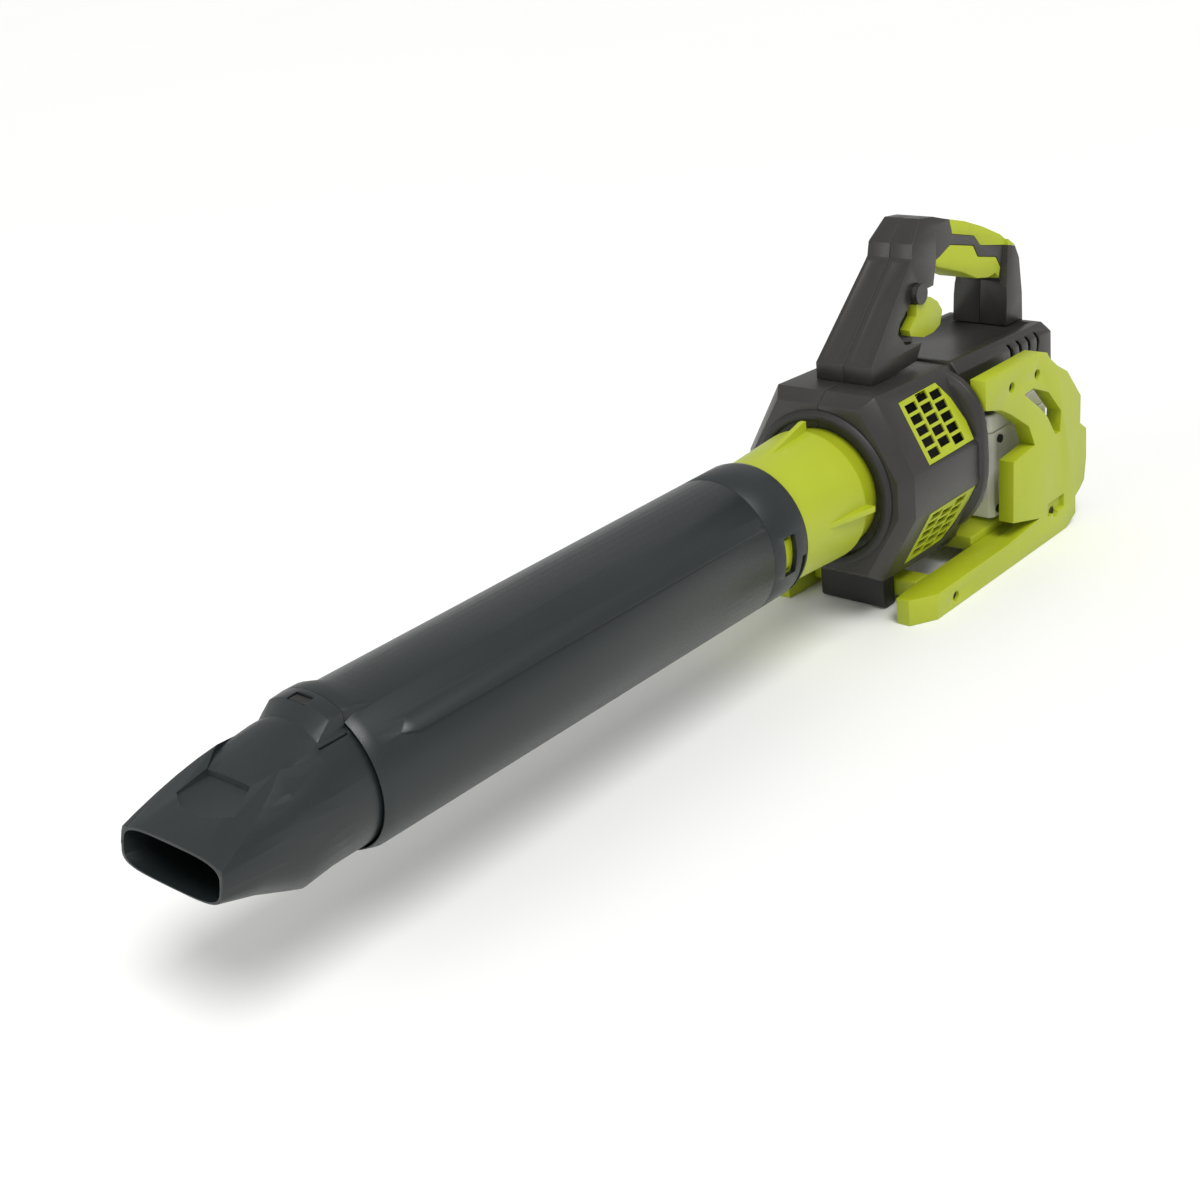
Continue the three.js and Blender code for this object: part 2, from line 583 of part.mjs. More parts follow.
// ---- rear cover ----------------------------------------------------------------------------
const coverFrontX = housingRearX + seamGap;
const coverTopAt = (x) => topHeight + centreAt(x);
const coverShoulder = 9;
const coverLoop = (x, inset, drop = 0) => {
  const top = coverTopAt(x) - inset - drop;
  const side = coverHalfWidth - inset;
  const half = topHalfWidth - inset * 0.6;
  const floor = coverFloor + inset;
  return [[half, top], [side, top - coverShoulder + drop], [side, floor], [-side, floor],
    [-side, top - coverShoulder + drop], [-half, top]].map(([y, z]) => [x, y, z]);
};
const [bevelLength, bevelFall] = coverBevel;
const coverBody = (inset, frontX, rearX) => loft([coverLoop(frontX, inset),
  coverLoop(coverRearX - bevelLength, inset), coverLoop(rearX, inset, bevelFall)]);
const coverOuter = coverBody(0, coverFrontX, coverRearX);
const coverInner = coverBody(coverWall, coverFrontX + coverWall, coverRearX - coverWall);
const ventSlots = [];
for (const side of [-1, 1]) {
  for (let i = 0; i < 4; i++) {
    const x = 209 + i * 15;
    const top = coverTopAt(x) - 5;
    ventSlots.push(prism([[x - 1.4, top], [x + 2.2, top - 1], [x + 4.6, top - 9],
      [x + 1.6, top - 22], [x - 1.4, top - 22], [x + 1, top - 9]], 'y',
    Math.min(side * 40, side * 70), Math.max(side * 40, side * 70)));
  }
}
const dockHalfWidth = 34;
const dockHole = box(batteryFrontX + 20, coverRearX - 25, -dockHalfWidth, dockHalfWidth,
  coverFloor - 5, coverFloor + coverWall + 5);
add('rear_cover', cut(coverOuter, coverInner, ventSlots, dockHole), darkNylon);
add('battery_dock', join(
  box(batteryFrontX + 20 + seamGap, coverRearX - 25 - seamGap, -dockHalfWidth + seamGap,
    dockHalfWidth - seamGap, batteryTopZ + slideGap, coverFloor + coverWall + 4),
), blackPlastic);
add('terminal_block', join(
  box(batteryFrontX - 16, batteryFrontX - slideGap, -24, 24, -30, -6),
  [-14, 0, 14].map((y) => box(batteryFrontX - 2, batteryFrontX + 9, y - 1, y + 1, -24, -12)),
), blackPlastic);
add('battery_backstop', box(housingRearX + seamGap, batteryFrontX - 16 - seamGap, -46, 46, -62, 8),
  darkNylon);
add('control_board', box(150, 222, -36, 36, coverFloor + coverWall + 5, coverFloor + coverWall + 7),
  board);

// ---- battery -------------------------------------------------------------------------------
const batteryRearX = batteryFrontX + batteryLength;
const packPlan = (inset, front, rear) => [
  [front + 4, -batteryHalfWidth + inset], [rear - 7, -batteryHalfWidth + inset],
  [rear, -batteryHalfWidth + 7], [rear, batteryHalfWidth - 7],
  [rear - 7, batteryHalfWidth - inset], [front + 4, batteryHalfWidth - inset],
  [front, batteryHalfWidth - 4], [front, -batteryHalfWidth + 4],
];
const contactSlots = [-14, 0, 14].map((y) =>
  box(batteryFrontX - 1, batteryFrontX + 12, y - 2, y + 2, -27, -9));
const lidHeight = 16;
const buttonSlot = box(batteryRearX - 14, batteryRearX + 1, -15, 15, -8, batteryTopZ + 1);
add('battery_case', cut(
  prism(packPlan(0, batteryFrontX, batteryRearX), 'z', batteryBottomZ,
    batteryTopZ - lidHeight - seamGap),
  contactSlots, buttonSlot,
), paleCase);
add('battery_lid', cut(
  prism(packPlan(1, batteryFrontX, batteryRearX), 'z', batteryTopZ - lidHeight, batteryTopZ),
  buttonSlot,
), paleCase);
add('battery_latch_button', box(batteryRearX - 8, batteryRearX + 2.5, -15 + slideGap,
  15 - slideGap, -8 + slideGap, batteryTopZ - 1), limePlastic);
add('battery_latch_spring', coilSpring('x', 3.2, 0.6, batteryRearX - 14 + seamGap,
  batteryRearX - 8 - seamGap, 0, 0), steel);
[['upper', 13, -13], ['lower', 8.5, -75]].forEach(([name, inset, z]) => {
  add(`battery_screw_${name}`, rod('y', screwHeadRadius - 0.6, -batteryHalfWidth - 2.2,
    -batteryHalfWidth - seamGap, batteryFrontX + inset, z, 14), zincSteel);
});

// ---- guards and skids ----------------------------------------------------------------------
const guardOutline = [
  [121.6, 60.8], [209, 60], [222, 55.5], [227, 49], [240, 39], [257, 29], [281, 0], [280, -25],
  [291, -33], [291, -60], [287, -80], [279, -86], [271, -90], [271, -106],
  [railRearX, -axisHeight], [150, -axisHeight], [150, railTopZ], [207, -88], [162, -76],
  [164, -22], [200, -19], [190, 1], [162, 20], [146, 29], [136, 32], [121.6, 36],
];
const guardHole = [
  [184, 30.4], [198, 31.7], [224, 20.5], [246, -3], [244, -21], [235.5, -21], [222, -1], [211, 9.4],
];
const railPlan = [
  [18.5, -53], [18, -65], [39.5, -guardOuterY], [railRearX, -guardOuterY],
  [railRearX, -guardOuterY + railWidth], [45, -guardOuterY + railWidth],
];
const coverBodyKeepOut = coverBody(-seamGap, coverFrontX, coverRearX);
const guardPlate = cut(
  prism(guardOutline, 'y', -guardOuterY, -guardOuterY + guardThickness),
  prism(guardHole, 'y', -far, 0),
  box(221, 250, -guardOuterY - 1, -guardOuterY + 4, -104, -80),
);
const guardFlange = prism([
  [-guardOuterY + guardThickness - 1, 50], [-coverHalfWidth - seamGap, 43],
  [-coverHalfWidth - seamGap, 28], [-guardOuterY + guardThickness - 1, 28],
], 'x', housingRearX + 15, 222).subtract(coverBodyKeepOut);
const guardRail = prism(railPlan, 'z', -axisHeight, railTopZ);
const screwPlaces = [[163, 43], [205, 41.7], [68, -105], [234.5, -92]];
const headSink = [3, 3, 3, 4.2];                      // depth of each screw head below the face
const headHeight = 2.4;
const screwHoles = screwPlaces.map(([x, z], i) => [
  rod('y', screwRadius + seamGap, -guardOuterY - 1, -guardOuterY + guardThickness, x, z, 16),
  rod('y', screwHeadRadius + seamGap, -guardOuterY - 1,
    -guardOuterY + headSink[i] + headHeight + seamGap, x, z, 16)]).flat();
const guard = cut(join(guardPlate, guardRail, guardFlange), screwHoles, flangeKeepOut,
  loft(housingLoops(-seamGap, housingFrontX - seamGap, housingRearX + seamGap)));
add('guard_left', guard, limePlastic);
add('guard_right', mirrored(guard), limePlastic);
['left', 'right'].forEach((name, index) => {
  screwPlaces.forEach(([x, z], i) => {
    const head = -guardOuterY + headSink[i];
    const screw = join(
      rod('y', screwRadius, head, -guardOuterY + guardThickness - 1, x, z, 14),
      rod('y', screwHeadRadius, head, head + headHeight, x, z, 14));
    add(`guard_screw_${name}_${i + 1}`, index ? mirrored(screw) : screw, zincSteel);
  });
});

const innerRailY = guardOuterY - railWidth - seamGap;
add('front_cross_bar', box(52, 72, -innerRailY, innerRailY, -axisHeight + 6, railTopZ), limePlastic);
add('battery_floor', join(
  box(139, 262, -innerRailY, innerRailY, railTopZ - 6, batteryBottomZ - 3 - seamGap),
  box(180, 262, -30, 30, batteryBottomZ - 4, batteryBottomZ - slideGap),
), limePlastic);
const housingKeepOut = loft(housingLoops(-seamGap, housingFrontX, housingRearX));
add('front_foot', cut(prism([
  [34, -78], [34, -axisHeight + 3], [38, -axisHeight], [51, -axisHeight], [51, -78],
], 'y', -31, 31), housingKeepOut), blackPlastic);

// ---- handle --------------------------------------------------------------------------------
const sideProfile = [
  [39, 74], [39, 89.4], [110.7, 158], [113, 169], [131, 185], [150, 182.5], [165, 177.5],
  [195, 168.5], [222, 158], [252, 144], [269, 131.5], [274.5, 119], [274.5, 60], [246, 60], [250, 104],
  [244, 113], [231, 112], [213, 116], [189, 127.4], [150, 141.5], [146, 150], [135, 123],
  [104, 77],
];
const widthEnvelope = [
  [-postHalfWidth, 55], [postHalfWidth, 55], [postHalfWidth, 89], [21, 155], [20.5, 170],
  [16, 186], [-16, 186], [-20.5, 170], [-21, 155], [-postHalfWidth, 89],
];
const gripZone = [[146, 150], [150, 100], [250, 100], [262, 150], [300, 200], [150, 200]];
const handleEnvelope = prism(widthEnvelope, 'x', 0, 300);
const narrowGrip = cut(prism(gripZone, 'y', -40, 40),
  box(0, 400, -gripHalfWidth, gripHalfWidth, 0, 400));
const coverKeepOut = coverBody(-seamGap, coverFrontX - 1, coverRearX);
const handleSolid = cut(prism(sideProfile, 'y', -40, 40).intersect(handleEnvelope),
  narrowGrip, housingKeepOut, coverKeepOut);

const wrapLimit = (skin) => box(0, 400, -gripHalfWidth + skin, gripHalfWidth - skin, 0, 400);

// Moves every edge of an outline outwards by a distance (inwards when it is negative).
function grown(outline, distance) {
  const area = outline.reduce((sum, [x, z], i) => {
    const [u, v] = outline[(i + 1) % outline.length];
    return sum + x * v - u * z;
  }, 0);
  const sign = Math.sign(area) * distance;
  return outline.map(([x, z], i) => {
    const before = outline[(i + outline.length - 1) % outline.length];
    const after = outline[(i + 1) % outline.length];
    const a = new THREE.Vector2(x - before[0], z - before[1]).normalize();
    const b = new THREE.Vector2(after[0] - x, after[1] - z).normalize();
    const n = new THREE.Vector2(a.y + b.y, -a.x - b.x);
    const reach = sign / Math.max(0.5, 1 + a.dot(b));
    return [x + n.x * reach, z + n.y * reach];
  });
}

// The soft skins cover two zones of the grip; the core keeps a gap to them all round.
const topZone = [[164, 200], [175, 162.5], [209, 153], [219, 142.5], [274, 129.5], [300, 160]];
const lowZone = [[145, 147], [156, 149.5], [172, 155], [208, 145.5], [215, 134.5], [244.5, 127],
  [252, 116], [246, 100], [145, 100]];
const insideGrip = (skin) => prism(grown(sideProfile, -skin), 'y', -40, 40)
  .intersect(wrapLimit(skin));
const skinSpace = (zone, grow, skin) =>
  prism(grown(zone, grow), 'y', -40, 40).subtract(insideGrip(skin));
[['top', topZone], ['bottom', lowZone]].forEach(([name, zone]) => {
  add(`grip_overmould_${name}`, handleSolid.intersect(skinSpace(zone, -seamGap, gripSkin)),
    limeRubber);
});

// ---- speed lever, in a pocket on the operator's left of the front post ----------------------
const [pivotX, pivotZ] = leverPivot;
const leverOuterY = -postHalfWidth;
const leverInnerY = leverOuterY + leverThickness;
const hubOuter = 8;
const pocketReach = 37.5;
const pocketFloorY = leverInnerY + slideGap;
const leverOutline = [
  [117, 127], [128, 123.5], [138.5, 117], [145, 108], [141, 97], [131, 93.5], [116, 93.5],
  [97, 99.5], [95.5, 104.5], [106.5, 113], [107.5, 124],
];
const pocketSide = (y0) => join(
  prism([[pivotX, pivotZ], [pivotX - pocketReach * 0.72, pivotZ - pocketReach * 0.45],
    [pivotX - pocketReach * 0.84, pivotZ - pocketReach * 0.66],
    [pivotX - pocketReach * 0.6, pivotZ - pocketReach * 0.95],
    [pivotX + 8, pivotZ - pocketReach - 4], [160, 84], [160, pivotZ]], 'y', -60, y0),
  rod('y', hubOuter + slideGap, -60, y0, pivotX, pivotZ));
const leverHub = join(
  rod('y', hubOuter, leverOuterY, leverInnerY, pivotX, pivotZ),
  prism([[107.5, 127], [107, 112], [118, 108], [122, 125], [117, 131]], 'y',
    leverOuterY, leverInnerY));
const springRadius = 5.4;
const springDepth = 5;
const lever = cut(
  join(prism(leverOutline, 'y', leverOuterY, leverInnerY), leverHub),
  rod('y', leverPinRadius + slideGap / 2, -60, 0, pivotX, pivotZ),
  rod('y', springRadius + 1.2, leverInnerY - springDepth, 0, pivotX, pivotZ));
add('speed_lever', lever, limePlastic);
const pinEndY = -gripHalfWidth + gripSkin + 5;
add('lever_pivot_pin', join(
  rod('y', leverPinRadius, leverOuterY - 0.5, pinEndY, pivotX, pivotZ),
  rod('y', hubOuter + 0.4, leverOuterY - 2.4, leverOuterY - seamGap, pivotX, pivotZ)), darkNylon);
add('lever_spring', coilSpring('y', springRadius, 0.45, leverInnerY - springDepth + seamGap,
  leverInnerY - seamGap, pivotX, pivotZ), steel);

const handleWall = 3.2;
const hollowHalfWidth = gripHalfWidth - gripSkin - handleWall;
const handleHollow = prism(grown(sideProfile, -gripSkin - handleWall), 'y',
  -hollowHalfWidth, hollowHalfWidth).subtract(
  box(0, 400, -40, 40, 0, coverTopAt(coverRearX) + handleWall + 4));
add('speed_switch', box(100, 114, pinEndY + seamGap, pinEndY + 11, 112, 131), blackPlastic);
const handleCore = cut(handleSolid,
  skinSpace(topZone, 0, gripSkin + seamGap), skinSpace(lowZone, 0, gripSkin + seamGap),
  handleHollow, pocketSide(pocketFloorY),
  rod('y', leverPinRadius + seamGap, -60, 0, pivotX, pivotZ));
add('handle_left', handleCore.intersect(leftHalf), darkNylon);
add('handle_right', handleCore.intersect(rightHalf), darkNylon);

const box3 = new THREE.Box3().setFromObject(blower);
blower.position.set(-(box3.min.x + box3.max.x) / 2, 0, -box3.min.z);
export default blower;
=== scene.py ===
import json
import math

import bmesh
import bpy
from mathutils import Matrix, Vector


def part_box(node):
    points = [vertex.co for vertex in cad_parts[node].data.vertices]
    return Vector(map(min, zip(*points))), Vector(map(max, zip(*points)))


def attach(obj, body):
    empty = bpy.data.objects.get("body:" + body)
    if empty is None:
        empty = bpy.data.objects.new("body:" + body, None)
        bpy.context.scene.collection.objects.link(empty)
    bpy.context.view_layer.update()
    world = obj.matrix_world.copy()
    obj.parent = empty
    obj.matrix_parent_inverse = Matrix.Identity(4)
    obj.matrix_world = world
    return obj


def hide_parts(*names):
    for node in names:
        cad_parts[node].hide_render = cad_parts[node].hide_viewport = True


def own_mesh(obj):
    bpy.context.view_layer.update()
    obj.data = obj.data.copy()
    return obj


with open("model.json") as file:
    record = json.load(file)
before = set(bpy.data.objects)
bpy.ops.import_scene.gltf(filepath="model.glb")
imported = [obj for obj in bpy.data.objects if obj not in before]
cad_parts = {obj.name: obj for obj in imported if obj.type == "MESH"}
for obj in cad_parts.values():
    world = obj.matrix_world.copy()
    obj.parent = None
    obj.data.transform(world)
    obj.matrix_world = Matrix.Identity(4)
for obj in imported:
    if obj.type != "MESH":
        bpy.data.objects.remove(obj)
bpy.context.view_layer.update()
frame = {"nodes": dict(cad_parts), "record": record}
bodies = frame["record"]["behaviour"]["bodies"]
bodyOf = {node: body for body, nodes in bodies.items() for node in nodes}
slotOf = {part["node"]: part["material_slot"] for part in frame["record"]["subparts"]}

# sizes in millimetres are measured from the front ring's plane, on the air axis
ringProud = 0.003  # how far the ring's lip stands in front of that plane, in metres
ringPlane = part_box("front_ring")[0].x + ringProud
airAxis = (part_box("fan_impeller")[0].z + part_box("fan_impeller")[1].z) / 2


def at(x, y, z):
    return Vector((ringPlane + x / 1000, y / 1000, airAxis + z / 1000))


def deselectAll():
    if bpy.context.mode != "OBJECT":
        bpy.ops.object.mode_set(mode="OBJECT")
    bpy.ops.object.select_all(action="DESELECT")


def makeActive(piece):
    deselectAll()
    piece.select_set(True)
    bpy.context.view_layer.objects.active = piece


def linear(hexText):
    channels = [int(hexText[i:i + 2], 16) / 255 for i in (1, 3, 5)]
    return tuple(c / 12.92 if c <= 0.04045 else ((c + 0.055) / 1.055) ** 2.4 for c in channels) + (1.0,)


def addNode(tree, kind, settings=None, links=None):
    node = tree.nodes.new(kind)
    for key, value in (settings or {}).items():
        if key in node.inputs:
            node.inputs[key].default_value = value
        else:
            setattr(node, key, value)
    for key, source in (links or {}).items():
        tree.links.new(source, node.inputs[key])
    return node


mixFirst, mixSecond, mixResult = 6, 7, 2  # the Mix node's sockets for colours


def startMaterial(name):
    material = bpy.data.materials.new(name)
    material.use_nodes = True
    tree = material.node_tree
    tree.nodes.clear()
    place = addNode(tree, "ShaderNodeTexCoord").outputs["Object"]
    output = addNode(tree, "ShaderNodeOutputMaterial")
    return material, tree, place, output


# two close shades in slow clouds, a fine spark-eroded grain, and a few rubbed places
def mouldedPlastic(name, look):
    material, tree, place, output = startMaterial(name)
    clouds = addNode(tree, "ShaderNodeTexNoise", {"Scale": 1000 / look["cloudMm"], "Detail": 3.0},
                     {"Vector": place})
    grain = addNode(tree, "ShaderNodeTexNoise", {
        "Scale": 1000 / look["grainMm"], "Detail": 2.0, "Roughness": 0.6}, {"Vector": place})
    rubs = addNode(tree, "ShaderNodeTexNoise", {
        "Scale": 1000 / look["rubMm"], "Detail": 6.0, "Roughness": 0.7}, {"Vector": place})
    rubMask = addNode(tree, "ShaderNodeMapRange", {
        "From Min": 0.58, "From Max": 0.72, "To Max": look["rubAmount"]}, {"Value": rubs.outputs["Fac"]})
    shades = addNode(tree, "ShaderNodeMix", {"data_type": "RGBA"}, {"Factor": clouds.outputs["Fac"]})
    shades.inputs[mixFirst].default_value = linear(look["colour"])
    shades.inputs[mixSecond].default_value = linear(look["shade"])
    worn = addNode(tree, "ShaderNodeMix", {"data_type": "RGBA"}, {"Factor": rubMask.outputs["Result"]})
    tree.links.new(shades.outputs[mixResult], worn.inputs[mixFirst])
    worn.inputs[mixSecond].default_value = linear(look["rubbed"])
    dull = addNode(tree, "ShaderNodeMapRange", {
        "From Min": 0.3, "From Max": 0.7, "To Min": look["roughness"][0], "To Max": look["roughness"][1],
    }, {"Value": grain.outputs["Fac"]})
    bump = addNode(tree, "ShaderNodeBump", {
        "Strength": look["grainStrength"], "Distance": look["grainDepthMm"] / 1000,
    }, {"Height": grain.outputs["Fac"]})
    shader = addNode(tree, "ShaderNodeBsdfPrincipled", {
        "IOR": look["ior"], "Metallic": 0.0, "Subsurface Weight": look.get("depth", 0.0),
        "Subsurface Scale": 0.004,
    }, {"Base Color": worn.outputs[mixResult], "Roughness": dull.outputs["Result"],
        "Normal": bump.outputs["Normal"]})
    if look.get("depth"):
        shader.inputs["Subsurface Radius"].default_value = (1.0, 0.8, 0.5)
    tree.links.new(shader.outputs["BSDF"], output.inputs["Surface"])
    return material


lineDepth = 0.00003  # depth of the lines worked into metal, in metres


# a base tone, fine lines or grain from how it was worked, and duller patches
def workedMetal(name, look):
    material, tree, place, output = startMaterial(name)
    stretch = addNode(tree, "ShaderNodeMapping", {"Scale": look["stretch"]}, {"Vector": place})
    lines = addNode(tree, "ShaderNodeTexNoise", {"Scale": 1000 / look["lineMm"], "Detail": 3.0},
                    {"Vector": stretch.outputs["Vector"]})
    tone = addNode(tree, "ShaderNodeMix", {"data_type": "RGBA"}, {"Factor": lines.outputs["Fac"]})
    tone.inputs[mixFirst].default_value = linear(look["colour"])
    tone.inputs[mixSecond].default_value = linear(look["shade"])
    dull = addNode(tree, "ShaderNodeMapRange", {
        "From Min": 0.3, "From Max": 0.7, "To Min": look["roughness"][0], "To Max": look["roughness"][1],
    }, {"Value": lines.outputs["Fac"]})
    bump = addNode(tree, "ShaderNodeBump", {"Strength": 0.25, "Distance": lineDepth},
                   {"Height": lines.outputs["Fac"]})
    shader = addNode(tree, "ShaderNodeBsdfPrincipled", {"Metallic": 1.0},
                     {"Base Color": tone.outputs[mixResult], "Roughness": dull.outputs["Result"],
                      "Normal": bump.outputs["Normal"]})
    tree.links.new(shader.outputs["BSDF"], output.inputs["Surface"])
    return material


materials = {
    # glass-filled nylon, moulded: warm dark grey with a matt, slightly speckled skin
    "dark_nylon": mouldedPlastic("glassFilledNylon", {
        "colour": "#2b2927", "shade": "#252321", "rubbed": "#383533", "cloudMm": 60, "grainMm": 0.9,
        "rubMm": 22, "rubAmount": 0.35, "grainStrength": 0.6, "grainDepthMm": 0.14,
        "roughness": (0.32, 0.46), "ior": 1.53}),
    # polypropylene, blow-tube skin: cool dark grey with a faint green cast and a low sheen
    "tube_plastic": mouldedPlastic("ribbedPolypropylene", {
        "colour": "#1e2425", "shade": "#1a1f20", "rubbed": "#293031", "cloudMm": 80, "grainMm": 0.8,
        "rubMm": 30, "rubAmount": 0.2, "grainStrength": 0.35, "grainDepthMm": 0.08,
        "roughness": (0.32, 0.46), "ior": 1.49}),
    # acetal, moulded black: small working pieces, matt with dark pits
    "black_plastic": mouldedPlastic("blackAcetal", {
        "colour": "#242322", "shade": "#1c1b1a", "rubbed": "#343230", "cloudMm": 40, "grainMm": 0.7,
        "rubMm": 15, "rubAmount": 0.2, "grainStrength": 0.4, "grainDepthMm": 0.08,
        "roughness": (0.48, 0.62), "ior": 1.48}),
    # ABS coloured lime, moulded satin: even colour, soft highlight
    "lime_plastic": mouldedPlastic("limeAbs", {
        "colour": "#aab61d", "shade": "#a1ad1a", "rubbed": "#b8c23a", "cloudMm": 70, "grainMm": 0.7,
        "rubMm": 20, "rubAmount": 0.25, "grainStrength": 0.3, "grainDepthMm": 0.06,
        "roughness": (0.36, 0.48), "ior": 1.54, "depth": 0.05}),
    # thermoplastic elastomer coloured lime: dull, faintly waxy grip skin
    "lime_rubber": mouldedPlastic("limeElastomer", {
        "colour": "#afbb25", "shade": "#a6b222", "rubbed": "#9ca828", "cloudMm": 50, "grainMm": 0.6,
        "rubMm": 14, "rubAmount": 0.35, "grainStrength": 0.5, "grainDepthMm": 0.1,
        "roughness": (0.58, 0.72), "ior": 1.5, "depth": 0.08}),
    # polyethylene, natural: milky cream that lets a little light in
    "pale_case": mouldedPlastic("creamPolyethylene", {
        "colour": "#f0eee8", "shade": "#e8e5dc", "rubbed": "#dfdace", "cloudMm": 45, "grainMm": 0.9,
        "rubMm": 25, "rubAmount": 0.3, "grainStrength": 0.25, "grainDepthMm": 0.06,
        "roughness": (0.38, 0.52), "ior": 1.51, "depth": 0.25}),
    # epoxy laminate with green solder mask
    "circuit_board": mouldedPlastic("solderMask", {
        "colour": "#2e5e3a", "shade": "#285434", "rubbed": "#4a7a50", "cloudMm": 12, "grainMm": 0.5,
        "rubMm": 5, "rubAmount": 0.5, "grainStrength": 0.2, "grainDepthMm": 0.04,
        "roughness": (0.3, 0.45), "ior": 1.55}),
    # music wire and ground shafts: bright with fine turning lines
    "spring_steel": workedMetal("groundSteel", {
        "colour": "#9b9ea2", "shade": "#85888c", "lineMm": 1.2, "stretch": (6.0, 1.0, 1.0),
        "roughness": (0.22, 0.38)}),
    # zinc-plated steel, black passivated: dark screws with dull patches
    "zinc_steel": workedMetal("zincPlatedSteel", {
        "colour": "#4c4e50", "shade": "#3a3c3e", "lineMm": 1.8, "stretch": (1.0, 1.0, 1.0),
        "roughness": (0.3, 0.5)}),
    # enamelled copper wire, wound: brown-red with turns across the slots
    "copper_winding": workedMetal("enamelledCopper", {
        "colour": "#b0703c", "shade": "#8a4f27", "lineMm": 1.0, "stretch": (8.0, 1.0, 1.0),
        "roughness": (0.3, 0.45)}),
}
print("materials made")

for nodeName, node in frame["nodes"].items():
    node.data.materials.clear()
    node.data.materials.append(materials[slotOf[nodeName]])


def finishPiece(piece, nodeNames, smoothAngle=32):
    makeActive(piece)
    bpy.ops.object.shade_smooth_by_angle(angle=math.radians(smoothAngle))
    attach(piece, bodyOf[nodeNames[0]])
    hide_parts(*nodeNames)


copying = {"mergeDistance": 0.00001, "flatDegrees": 0.6}  # metres; faces this close to flat become one


def cleanCopy(nodeName):
    mesh = frame["nodes"][nodeName].data.copy()
    words = nodeName.split("_")
    piece = bpy.data.objects.new(words[0] + "".join(word.capitalize() for word in words[1:]), mesh)
    bpy.context.scene.collection.objects.link(piece)
    makeActive(piece)
    bpy.ops.object.mode_set(mode="EDIT")
    bpy.ops.mesh.select_all(action="SELECT")
    bpy.ops.mesh.remove_doubles(threshold=copying["mergeDistance"])
    bpy.ops.mesh.dissolve_limited(angle_limit=math.radians(copying["flatDegrees"]))
    bpy.ops.object.mode_set(mode="OBJECT")
    return piece


rounding = {"segments": 2, "leastDegrees": 30}  # edges that turn less than this stay as they are


def bevelEdges(piece, widthMm):
    makeActive(piece)
    bevel = piece.modifiers.new("edges", "BEVEL")
    bevel.width = widthMm / 1000
    bevel.segments = rounding["segments"]
    bevel.limit_method = "ANGLE"
    bevel.angle_limit = math.radians(rounding["leastDegrees"])
    bpy.ops.object.modifier_apply(modifier=bevel.name)


softEdges = {  # edge radius in millimetres of each moulding
    "blower_tube": 0.7, "nozzle": 0.9, "nozzle_release_button": 0.8, "outlet_duct": 0.8,
    "tube_release_button_left": 0.7, "tube_release_button_right": 0.7, "front_ring": 0.8,
    "housing_left": 1.6, "housing_right": 1.6, "intake_grille_left_upper": 0.5,
    "intake_grille_left_lower": 0.5, "intake_grille_right_upper": 0.5, "intake_grille_right_lower": 0.5,
    "rear_cover": 1.6, "battery_case": 2.0, "battery_lid": 1.6, "battery_latch_button": 1.0,
    "guard_left": 2.4, "guard_right": 2.4, "front_cross_bar": 2.0, "battery_floor": 1.2, "front_foot": 1.8,
    "grip_overmould_top": 1.6, "grip_overmould_bottom": 1.2, "speed_lever": 1.2, "handle_left": 1.8,
    "handle_right": 1.8, "battery_backstop": 1.5, "terminal_block": 0.6, "battery_dock": 1.0,
}
# sunk panels: where the flat face is, how it faces, the frame left round it and the depth, in millimetres
sunkPanels = {
    "handle_left": [((81, -14, 130), (-0.69, 0, 0.72), 3.2, 0.7)],
    "handle_right": [((81, 14, 130), (-0.69, 0, 0.72), 3.2, 0.7)],
    "rear_cover": [((199, 0, 68), (0.04, 0, 1), 6.0, 0.8)],
    "battery_lid": [((241, 0, 10), (0, 0, 1), 7.0, 0.8)],
    "battery_case": [((225, -50, -44), (0, -1, 0), 5.0, 0.9), ((225, 50, -44), (0, 1, 0), 5.0, 0.9),
                     ((277, 0, -26), (1, 0, 0), 5.0, 0.9)],
    "guard_right": [((195, 78, -80), (0, 1, 0), 4.5, 0.9)],
}
wallMm = 0.8  # how far a sunk panel's sides slope in
panelSearch = {"reach": 0.016, "facing": 0.97}  # how near in metres, and how well turned, its face must be


def sinkPanel(piece, place, facing, frameMm, depthMm):
    target, direction = at(*place), Vector(facing).normalized()
    flat = [face for face in piece.data.polygons if face.normal.dot(direction) > panelSearch["facing"]]
    near = [face for face in flat if (face.center - target).length < panelSearch["reach"]]
    if not near:
        print("no flat face near", piece.name, place)
        return
    chosen = max(near, key=lambda face: face.area).index
    makeActive(piece)
    bpy.ops.object.mode_set(mode="EDIT")
    bpy.ops.mesh.select_mode(type="FACE")
    bpy.ops.mesh.select_all(action="DESELECT")
    edit = bmesh.from_edit_mesh(piece.data)
    edit.faces.ensure_lookup_table()
    edit.faces[chosen].select_set(True)
    bmesh.update_edit_mesh(piece.data)
    bpy.ops.mesh.inset(thickness=frameMm / 1000, depth=0)
    bpy.ops.mesh.inset(thickness=wallMm / 1000, depth=-depthMm / 1000)
    bpy.ops.object.mode_set(mode="OBJECT")


# seam grooves round the air axis: where they cross it, their width and depth, in millimetres
seamGrooves = {"blower_tube": [(-137, 1.2, 0.5)]}
grooveSearch = {"reach": 0.00005, "outward": 0.3}  # metres from the middle, and how far a point faces out


